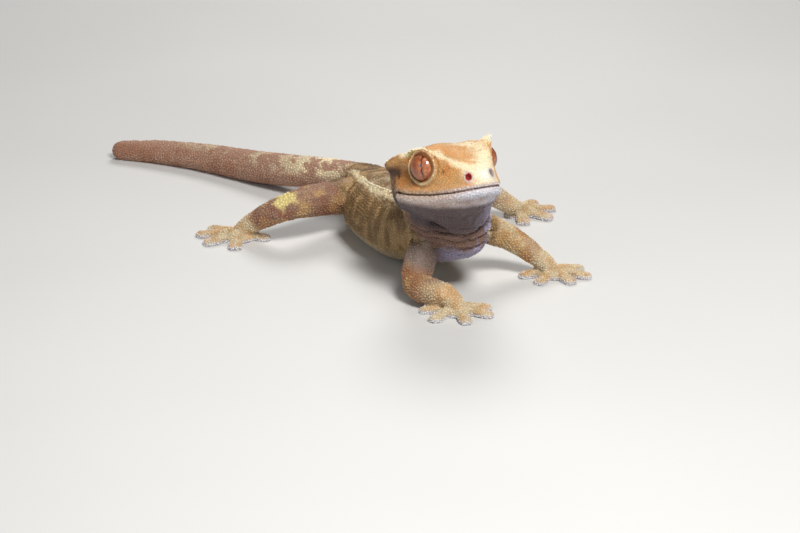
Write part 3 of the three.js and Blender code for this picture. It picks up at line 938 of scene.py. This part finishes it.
# %% [markdown]
# An unwrap of a plain copy of the body gives each scale a place on one flat map, so that baking can paint
# it apart from its neighbours. The copy is coarse, because only places matter, and it is deleted again.

# %% A flat map of the body
MAP_VOXEL = 1.3
PATCH = 0.003
ISLAND_ANGLE = math.radians(66)
ISLAND_MARGIN = 0.004


def flat_map():
    plain = skin.copy()
    plain.data = skin.data.copy()
    bpy.context.collection.objects.link(plain)
    apply_modifier(plain, "REMESH", mode="VOXEL", voxel_size=MAP_VOXEL * MM)
    edit_whole(plain, bpy.ops.mesh.quads_convert_to_tris)
    edit_whole(plain, bpy.ops.uv.smart_project, angle_limit=ISLAND_ANGLE, island_margin=ISLAND_MARGIN)
    corners = read_points(plain.data)
    faces = read_array(plain.data.polygons, "vertices", 3, np.int64)
    places = read_array(plain.data.uv_layers.active.data, "uv", 2).reshape(-1, 3, 2)
    bpy.data.objects.remove(plain)
    return corners, faces, places


map_corners, map_faces, map_uvs = flat_map()
map_tree = BVHTree.FromPolygons([Vector(c) for c in map_corners], map_faces.tolist())
print("map faces", len(map_faces))


def map_places(points):
    found = [map_tree.find_nearest(Vector(p)) for p in points]
    spot = np.array([hit[0] for hit in found])
    index = np.array([hit[2] for hit in found])
    a, b, c = (map_corners[map_faces[index, k]] for k in range(3))
    normal = np.cross(b - a, c - a)
    size = (normal**2).sum(axis=1)
    share_a = (np.cross(b - spot, c - spot) * normal).sum(axis=1) / size
    share_b = (np.cross(c - spot, a - spot) * normal).sum(axis=1) / size
    weight = np.clip(np.column_stack([share_a, share_b, 1 - share_a - share_b]), 0, 1)
    return (weight[:, :, None] * map_uvs[index]).sum(axis=1)


# %% [markdown]
# The skin of this gecko is covered with tiny grains that don't overlap, about half a millimetre across, each
# a low dome. Roots are picked from the skin's points in random order, and a point is kept only if no kept one
# is nearer than the size that the place asks for, which spaces them as evenly as real ones are.

# %% Where scales grow, and how large
SIZES = {
    "head": 0.5, "jaw": 0.52, "neck": 0.52, "torso": 0.66, "tail": 0.64, "arm_right": 0.58, "arm_left": 0.6,
    "hands": 0.5, "leg_right": 0.64, "leg_left": 0.66, "feet": 0.54,
}
HEIGHTS = {
    "head": 0.07, "jaw": 0.1, "neck": 0.12, "torso": 0.16, "tail": 0.14, "arm_right": 0.26, "arm_left": 0.19,
    "hands": 0.18, "leg_right": 0.22, "leg_left": 0.2, "feet": 0.18,
}
LIP_SIZE = 1.0


def blended(table, shares):
    return sum(shares[part] * value for part, value in table.items())


def lip_share(points, face):
    head = to_head(points)
    height = mouth_height(head)
    band = bump_at(np.abs(height), 0.78, 0.32)
    return band * ramp(head[:, 0], -9.5, -8) * ramp(face, 0.6, 0.9)


def bare_share(points):
    head = to_head(points)
    bare = ramp(-np.abs(mouth_height(head)), -0.42, -0.3) * mouth_length(head)
    for side, sign in EYE_SIDES.items():
        along, across = eye_distances(points, side, sign)
        bare = np.maximum(bare, ramp(-across, -4.3, -4.1) * ramp(along, -4, -2))
        bare = np.maximum(bare, ramp(-reach_from(head, NOSTRILS[sign]), -1.15, -1.05))
    return np.maximum(bare, ramp(-points[:, 2], -0.2, -0.1))


def spaced(points, distances, allowed):
    cell = float(distances.max())
    kept, grid = [], {}
    keys = np.floor(points / cell).astype(int)
    places = points.tolist()
    squares = (distances**2).tolist()
    steps = [(i, j, k) for i in (-1, 0, 1) for j in (-1, 0, 1) for k in (-1, 0, 1)]
    for index in rng.permutation(np.flatnonzero(allowed)).tolist():
        x, y, z = places[index]
        i, j, k = keys[index].tolist()
        around = (place for di, dj, dk in steps for place in grid.get((i + di, j + dj, k + dk), ()))
        limit = squares[index]
        if all((px - x) ** 2 + (py - y) ** 2 + (pz - z) ** 2 >= limit for px, py, pz in around):
            grid.setdefault((i, j, k), []).append((x, y, z))
            kept.append(index)
    return np.array(kept)


lips = lip_share(points, face)
spacing = blended(SIZES, shares) * (0.92 + 0.2 * noise(points, 5, 141))
spacing = spacing + (LIP_SIZE - spacing) * ramp(lips, 0.3, 0.7)
roots = spaced(points, spacing, bare_share(points) < 0.5)
print("scales", len(roots))

# %% [markdown]
# One scale is a six-sided dome: a base ring sunk in the skin, a smaller ring near the top, and a tip. It is
# made once as a few rows of numbers from a formula, and then copied to every root, turned to the skin's
# normal there, and sized, tinted and mapped by place.

# %% One scale, and copies of it
DOME_SIDES = 6
DOME_RINGS = [(1.0, -0.35), (0.66, 0.72)]


def cone_faces(rings, sides):
    faces = []
    for low in range(0, (rings - 1) * sides, sides):
        for side in range(sides):
            after = (side + 1) % sides
            faces.append((low + side, low + after, low + sides + side))
            faces.append((low + after, low + sides + after, low + sides + side))
    last, tip = (rings - 1) * sides, rings * sides
    faces += [(last + side, last + (side + 1) % sides, tip) for side in range(sides)]
    faces += [(0, side + 1, side) for side in range(1, sides - 1)]
    return np.array(faces)


def dome():
    shape = []
    for ring, (radius, height) in enumerate(DOME_RINGS):
        for side in range(DOME_SIDES):
            turn = 2 * math.pi * (side + 0.5 * ring) / DOME_SIDES
            shape.append((radius * math.cos(turn), radius * math.sin(turn), height))
    return np.array([*shape, (0, 0, 1)]), cone_faces(len(DOME_RINGS), DOME_SIDES)


def tangent_frames(normals, turns, lengthwise=None):
    if lengthwise is None:
        lengthwise = np.where(np.abs(normals[:, 2:]) > 0.9, [1.0, 0.0, 0.0], [0.0, 0.0, 1.0])
    first = np.cross(lengthwise, normals)
    first /= np.linalg.norm(first, axis=1)[:, None] + 1e-9
    second = np.cross(normals, first)
    cosine, sine = np.cos(turns)[:, None], np.sin(turns)[:, None]
    return first * cosine + second * sine, second * cosine - first * sine


def copies_of(shape, faces, centres, frames, sizes, colours):
    sized = shape * np.stack(sizes, axis=1)[:, None, :]
    corners = centres[:, None, :] + sized @ np.stack(frames, axis=1)
    starts = np.arange(len(centres)) * len(shape)
    all_faces = faces + starts[:, None, None]
    flat = shape[:, :2] / np.abs(shape[:, :2]).max() * PATCH / 2
    uvs = map_places(centres)[:, None, :] + flat
    colours = np.repeat(colours, len(shape), axis=0)
    return corners.reshape(-1, 3), all_faces.reshape(-1, 3), colours, uvs.reshape(-1, 2)


def mesh_piece(name, corners, faces, colours, uvs, finish, slot):
    mesh = bpy.data.meshes.new(name)
    mesh.vertices.add(len(corners))
    mesh.vertices.foreach_set("co", (on_floor(corners) * MM).ravel())
    mesh.loops.add(faces.size)
    mesh.loops.foreach_set("vertex_index", faces.ravel())
    mesh.polygons.add(len(faces))
    mesh.polygons.foreach_set("loop_start", np.arange(0, faces.size, 3))
    mesh.update(calc_edges=True)
    mesh.polygons.foreach_set("use_smooth", np.ones(len(faces), dtype=bool))
    write_colour(mesh, colours)
    layer = mesh.uv_layers.new(name="OFBake")
    layer.data.foreach_set("uv", uvs[faces.ravel()].ravel())
    mesh.materials.append(finish)
    piece = bpy.data.objects.new(name, mesh)
    bpy.context.collection.objects.link(piece)
    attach(piece, "root")


print("triangles in a scale", len(dome()[1]))

# %% [markdown]
# Each part's scales are a mesh of their own, and would be split in two above the limit here, because a mesh
# with too many triangles is thinned when it is exported. Sizes, turns and tones differ a little from scale to
# scale, and the lips have a row of broad scales that lie straight.

# %% Grow the scales
SCALE_SPREAD = 0.53
SCALE_TONE = 1.12
MOST_SCALES = 8800
SCALE_PIECES = {
    "head": ("head_skin", ["head"]),
    "jaw": ("jaw_skin", ["jaw"]),
    "neck": ("body_skin", ["neck"]),
    "torso": ("body_skin", ["torso"]),
    "tail": ("tail_skin", ["tail"]),
    "arms": ("limb_skin", ["arm_right", "arm_left"]),
    "hands": ("foot_skin", ["hands"]),
    "legs": ("limb_skin", ["leg_right", "leg_left"]),
    "feet": ("foot_skin", ["feet"]),
}


def grow_scales():
    shape, faces = dome()
    lip = ramp(lips[roots], 0.3, 0.7)
    size = spacing[roots] * SCALE_SPREAD
    high = blended(HEIGHTS, shares)[roots] * (0.8 + 0.4 * rng.random(len(roots)))
    sizes = np.array([size * (1 + 0.12 * lip), size * (1 - 0.28 * lip), high])
    turns = rng.random(len(roots)) * math.pi * (1 - lip)
    frames = np.array([*tangent_frames(normals[roots], turns), normals[roots]])
    plain = face[roots]
    tone = (SCALE_TONE - 0.06 * plain) * (1 + (0.2 - 0.14 * plain) * (rng.random(len(roots)) - 0.5))
    colour = skin_colour[roots] * tone[:, None]
    owner = np.array(list(shares))[np.array([share[roots] for share in shares.values()]).argmax(axis=0)]
    total = 0
    for part, (slot, owners) in SCALE_PIECES.items():
        chosen = np.flatnonzero(np.isin(owner, owners))
        for number, start in enumerate(range(0, len(chosen), MOST_SCALES)):
            some = chosen[start:start + MOST_SCALES]
            data = copies_of(shape, faces, points[roots[some]], frames[:, some], sizes[:, some], colour[some])
            name = f"scales_{part}_{number + 1}"
            mesh_piece(name, *data, scale_finish, slot)
            total += len(data[1])
            print(name, len(some), "scales")
    return total


print("scale triangles", grow_scales())

# %% [markdown]
# A crested gecko is named for the fringe that runs over each eye like lashes and on to the shoulders. Each
# spine is a soft, flattened cone. They stand in a double row on the head, longest over the eye, and shrink to
# short points along the neck and back.

# %% The fringe
BROW = [
    (2.8, 8.2, 3.2), (0.4, 9.2, 4.3), (-2.4, 9.9, 4.4), (-5.4, 10.6, 3.3), (-8.8, 11.5, 2.1),
    (-12.4, 13.3, 0.9), (-15.8, 12.4, -1.0),
]
BACK_LINE = [
    (30.5, -4.2, 30.0, -0.75, 0.65, 0.1), (27.5, -2.4, 22.0, -0.75, 0.6, 0.25),
    (22.0, -1.0, 14.0, -0.4, 0.6, 0.7), (10.0, -2.6, 10.4, 0.0, 0.6, 0.8),
    (-4.0, -3.2, 9.0, 0.0, 0.62, 0.78), (-14.0, -2.2, 8.5, 0.0, 0.64, 0.76),
]
LONGER_OVER_EYE = {-1: 0.45, 1: 1.9}
CAST_FROM = 25
SPINE_SIDES = 7
SPINE_BEND = 0.16
SPINE_FLAT = 0.62
SPINE_SUNK = 0.3
SPINE_RINGS = [(1.0, 0.0), (0.86, 0.3), (0.58, 0.66), (0.26, 0.9)]


def spine_shape():
    shape = []
    for radius, height in SPINE_RINGS:
        bend = SPINE_BEND * height**2
        for side in range(SPINE_SIDES):
            turn = 2 * math.pi * side / SPINE_SIDES
            shape.append((radius * math.cos(turn), radius * SPINE_FLAT * math.sin(turn) + bend, height))
    return np.array([*shape, (0, SPINE_BEND, 1)]), cone_faces(len(SPINE_RINGS), SPINE_SIDES)


def along_rows(rows, share):
    rows = np.array(rows)
    at = share * (len(rows) - 1)
    return np.column_stack([np.interp(at, range(len(rows)), column) for column in rows.T])


def brow_spines(sign, count, row):
    share = (np.arange(count) + 0.5 * row + 0.15 * rng.random(count)) / count
    path = along_rows(BROW, share) * [1, sign, 1]
    path[:, 1] -= sign * 0.8 * row
    roots = np.array([skin_tree.find_nearest(Vector(p))[0] for p in from_head(path)])
    lean = np.column_stack([
        -0.15 - 0.45 * share + 0.12 * rng.standard_normal(count),
        sign * (0.75 + 0.25 * share),
        0.75 - 0.6 * share + 0.1 * rng.standard_normal(count) + 0.2 * row,
    ])
    over_eye = np.sin(np.pi * np.clip(share * 1.7 + 0.1, 0, 1))
    length = (0.7 + LONGER_OVER_EYE[sign] * over_eye) * (0.8 + 0.4 * rng.random(count)) * (1 - 0.35 * row)
    return roots, lean @ HEAD_AXES, length, 0.22 + 0.07 * over_eye


def back_spines(sign, count, row):
    share = (np.arange(count) + 0.5 * row) / count
    path = along_rows(BACK_LINE, share)
    lean = path[:, 3:] * [1, sign, 1]
    lean /= np.linalg.norm(lean, axis=1)[:, None]
    starts = path[:, :3] + lean * CAST_FROM
    roots = np.array([skin_tree.ray_cast(Vector(s), Vector(-way))[0] for s, way in zip(starts, lean)])
    length = (1.15 - 0.6 * share) * (0.8 + 0.4 * rng.random(count)) * (1 - 0.25 * row)
    return roots, lean + [-0.35, 0, 0], length, np.full(count, 0.22)


def grow_fringe(name, make, counts, slot):
    shape, faces = spine_shape()
    gathered = [make(sign, count, row) for sign in (-1, 1) for row, count in enumerate(counts)]
    roots, lean, length, width = (np.concatenate([g[k] for g in gathered]) for k in range(4))
    lean = lean / np.linalg.norm(lean, axis=1)[:, None]
    first, second = tangent_frames(lean, np.zeros(len(lean)), lengthwise=[-1.0, 0, 0.2])
    sizes = (width, width, length + SPINE_SUNK)
    tone = 0.85 + 0.25 * rng.random(len(roots))
    corners, all_faces, colours, uvs = copies_of(
        shape, faces, roots - lean * SPINE_SUNK, (first, second, lean), sizes, CREAM * tone[:, None]
    )
    colours = mix(colours, PALE_CREAM, 0.6 * np.tile(shape[:, 2], len(roots)))
    mesh_piece(name, corners, all_faces, colours, uvs, scale_finish, slot)
    print(name, len(roots), "spines")


grow_fringe("fringe_brows", brow_spines, (14, 10), "head_skin")
grow_fringe("fringe_back", back_spines, (44, 40), "body_skin")

# %% [markdown]
# The eye has no lid. A clear scale covers it, so it looks wet all over. In light the pupil is a thin upright
# slit with a wavy edge, in a copper iris with a net of fine veins. The eye is one ball whose pattern is laid
# out in the eye's own frame, and a clear coat over it gives the wet shine.

# %% The eyes
EYE_SWELL = 1.03
EYE_OUT = 0.35
EYE_BULGE = 0.035
IRIS_PAINTS = {
    "copper": (160, 80, 38), "salmon": (204, 128, 78), "vein": (104, 40, 22), "rear": (128, 50, 28),
    "border": (96, 42, 24), "ring": (220, 200, 170), "lining": (96, 36, 20), "slit": (20, 8, 6),
}


def eye_frame(sign):
    look = eye_axis(sign) @ HEAD_AXES
    up = HEAD_AXES[2] - look * (HEAD_AXES[2] @ look)
    up /= np.linalg.norm(up)
    front = np.cross(up, look) * -sign
    return np.array([front, up, look])


def make_eye(side, sign, finish):
    deselect_all()
    bpy.ops.mesh.primitive_uv_sphere_add(segments=64, ring_count=40, radius=EYE_RADIUS * MM)
    eye = bpy.context.object
    eye.name = f"eyeball_{side}"
    axes = eye_frame(sign)
    round_points = read_points(eye.data)
    place = round_points / EYE_RADIUS
    bulge = 1 + EYE_BULGE * ramp(place[:, 2], 0.3, 1.0)
    turned = (round_points * bulge[:, None]) @ axes
    write_points(eye.data, turned * EYE_SWELL + EYES[side] + axes[2] * EYE_OUT)
    layer = eye.data.attributes.new("EyePlace", "FLOAT_VECTOR", "POINT")
    layer.data.foreach_set("vector", place.astype(np.float32).ravel())
    if sign > 0:
        eye.data.flip_normals()
    bpy.ops.object.shade_smooth()
    eye.data.materials.append(finish)
    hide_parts(f"eye_{side}")
    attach(eye, "root")
    return eye


def eye_finish():
    ink = {name: rgba(paint(*levels)) for name, levels in IRIS_PAINTS.items()}
    material, tree, shader = new_material("gecko_eye", Coat_Weight=1.0, Coat_Roughness=0.03)
    place = node(tree, "ShaderNodeAttribute", {"attribute_name": "EyePlace"}, output="Vector")
    front, up = (node(tree, "ShaderNodeSeparateXYZ", {}, {0: place}, output=k) for k in (0, 1))
    radius = (front * front + up * up) ** 0.5
    veins = node(tree, "ShaderNodeTexVoronoi", {"feature": "DISTANCE_TO_EDGE"}, {
        "Vector": place, "Scale": 11.0,
    }, output="Distance").between(0.0, 0.1)
    cloud = node(tree, "ShaderNodeTexNoise", {}, {
        "Vector": place, "Scale": 5.0, "Detail": 4.0,
    }).between(0.35, 0.65)
    rear = (front * -1 + cloud * 0.25).between(0.05, 0.5)
    ring = 1 - abs(radius - 0.985).between(0.0, 0.02)
    wave = (up * 17.0).sine() * 0.022 + (up * 41.0).sine() * 0.012
    half = (1 - abs(up).between(0.55, 0.86)) * 0.026 + (up * 13.0).sine() * 0.012
    edge = abs(front - 0.2 + wave) - half
    slit = (1 - edge.between(-0.008, 0.02)) * (1 - abs(up).between(0.72, 0.82))
    iris = mixed(tree, cloud, ink["copper"], ink["salmon"])
    for mask, name in (
        ((1 - veins) * 0.75, "vein"), (rear * 0.55, "rear"), (radius.between(0.78, 0.96), "border"),
        (ring, "ring"), ((1 - edge.between(0.02, 0.09)) * 0.55, "lining"), (slit, "slit"),
    ):
        iris = mixed(tree, mask, iris, ink[name])
    plug(iris, shader, "Base Color")
    plug(cloud * 0.2 + 0.3, shader, "Roughness")
    plug(node(tree, "ShaderNodeBump", {}, {
        "Strength": 0.35, "Distance": 0.0002, "Height": veins * 0.6 + cloud,
    }), shader, "Normal")
    return material


eye_look = eye_finish()
for side, sign in EYE_SIDES.items():
    eye = make_eye(side, sign, eye_look)
    print(eye.name, "at", EYES[side].round(1))

# %% [markdown]
# Each toe ends in a small hooked claw, pale horn with a darker tip, that stands up clear of the sticky pad.
# The bearing and reach of the toes are those of the solids.

# %% The claws
PAWS = {
    "hand_right": ((51.2, -8.3), 1.0, [(-118, 8.6), (-66, 8.4), (-2, 8.2), (52, 9.2), (88, 9.0)]),
    "hand_left": ((35.4, 25.6), 1.0, [(-105, 8.2), (-52, 7.6), (18, 7.8), (60, 9.8), (102, 9.6)]),
    "foot_right": ((-22.2, -42.0), 1.12, [(-158, 11.4), (-128, 11.6), (-84, 9.6), (-24, 8.4), (68, 8.2)]),
    "foot_left": ((-13.2, 37.8), 1.12, [(172, 9.4), (134, 11.2), (94, 11.0), (44, 9.6), (-14, 8.6)]),
}
CLAW_RINGS = 7
CLAW_SIDES = 8
CLAW_LENGTH = 1.9
CLAW_RADIUS = 0.36
CLAW_BEND = math.radians(78)
CLAW_REACH = 0.82
CLAW_DROP = 0.62
CLAW_FLAT = 0.7
CLAW_ROOT = 0.88
CLAW_HEIGHT = 1.45


def claw_mesh(root, along, size):
    aside = np.array([-along[1], along[0], 0])

    def centre(bend):
        drop = np.array([0, 0, (1 - math.cos(bend)) * CLAW_DROP])
        return root + (along * math.sin(bend) * CLAW_REACH - drop) * CLAW_LENGTH * size

    corners = []
    for ring in range(CLAW_RINGS):
        share = ring / CLAW_RINGS
        bend = share * CLAW_BEND
        rise = np.cross(along * math.cos(bend) - np.array([0, 0, math.sin(bend)]), aside)
        radius = CLAW_RADIUS * size * (1 - share) ** 0.8
        for side in range(CLAW_SIDES):
            turn = 2 * math.pi * side / CLAW_SIDES
            spoke = CLAW_FLAT * math.cos(turn) * aside + math.sin(turn) * rise
            corners.append(centre(bend) + radius * spoke)
    return np.array([*corners, centre(CLAW_BEND)]), cone_faces(CLAW_RINGS, CLAW_SIDES)[:, ::-1]


def claw_finish():
    material, tree, shader = new_material("gecko_claw", Specular_IOR_Level=0.5)
    marks = node(tree, "ShaderNodeAttribute", {"attribute_name": "Markings"}, output="Color")
    plug(marks, shader, "Base Color")
    plug(fine_noise(tree, 1800).between(0.3, 0.7) * 0.15 + 0.3, shader, "Roughness")
    return material


def make_claws(paw, palm, size, toes, finish):
    claws = []
    for bearing, reach in toes:
        turn = math.radians(bearing)
        along = np.array([math.cos(turn), math.sin(turn), 0])
        claws.append(claw_mesh(np.array([*palm, CLAW_HEIGHT]) + along * reach * CLAW_ROOT, along, size))
    corners = on_floor(np.concatenate([shape for shape, _ in claws]))
    faces = np.concatenate([sides + number * len(shape) for number, (shape, sides) in enumerate(claws)])
    share = np.linspace(0, 1, len(claws[0][0]))
    colours = np.tile(mix(PALE_LIP, MAUVE * 0.5, ramp(share, 0.3, 1)), (len(claws), 1))
    mesh_piece(f"claws_{paw}", corners, faces, colours, map_places(corners), finish, "foot_skin")
    print("claws on", paw, len(toes))


claw_look = claw_finish()
for paw, (palm, size, toes) in PAWS.items():
    make_claws(paw, palm, size, toes, claw_look)

# %% [markdown]
# The animal sits on a plain pale floor under soft studio lights: a key above and in front, a weak fill from
# the animal's right, and a back light that draws the edge of the crest. The floor is a sheet much larger than
# the view, so that no edge shows.

# %% Floor and lights
FLOOR_SIZE = 6
AIM = Vector((0.02, -0.005, 0.02))


def make_floor():
    deselect_all()
    bpy.ops.mesh.primitive_plane_add(size=FLOOR_SIZE)
    floor = bpy.context.object
    floor.name = "floor"
    material, tree, shader = new_material("floor_paper", Roughness=0.6)
    paper = fine_noise(tree, 6).between(0.3, 0.7)
    plug(mixed(tree, paper, rgba(paint(206, 206, 205)), rgba(paint(211, 211, 210))), shader, "Base Color")
    floor.data.materials.append(material)


def make_light(name, place, width, power, colour):
    deselect_all()
    bpy.ops.object.light_add(type="AREA", location=place)
    light = bpy.context.object
    light.name = name
    light.data.shape = "DISK"
    light.data.size = width
    light.data.energy = power
    light.data.color = colour
    light.rotation_euler = (AIM - Vector(place)).to_track_quat("-Z", "Y").to_euler()


make_floor()
make_light("key", (0.4, 0.02, 0.5), 0.2, 4.0, (1.0, 0.98, 0.94))
make_light("fill", (0.3, -0.6, 0.3), 0.5, 0.8, (0.92, 0.96, 1.0))
make_light("back", (-0.45, 0.2, 0.45), 0.3, 1.9, (1.0, 0.98, 0.95))
world = bpy.data.worlds.new("studio")
bpy.context.scene.world = world
world.use_nodes = True
background = world.node_tree.nodes["Background"]
background.inputs["Color"].default_value = (0.9, 0.92, 0.95, 1)
background.inputs["Strength"].default_value = 0.15
bpy.context.scene.view_settings.view_transform = "Standard"
print("three soft lights")

# %% [markdown]
# The camera stands where the photographer's did: in front and to the animal's right, twenty degrees above
# the floor, with a long lens.

# %% Camera
CAMERA_AT = (0.5693, -0.2269, 0.2172)
CAMERA_WAY = (-0.8746, 0.3436, -0.3420)
CAMERA_LENS = 108
bpy.ops.object.camera_add(location=CAMERA_AT)
camera = bpy.context.object
camera.data.lens = CAMERA_LENS
camera.data.sensor_width = 36
camera.data.clip_start = 0.01
camera.rotation_euler = Vector(CAMERA_WAY).to_track_quat("-Z", "Y").to_euler()
bpy.context.scene.camera = camera
print("lens", CAMERA_LENS, "mm")
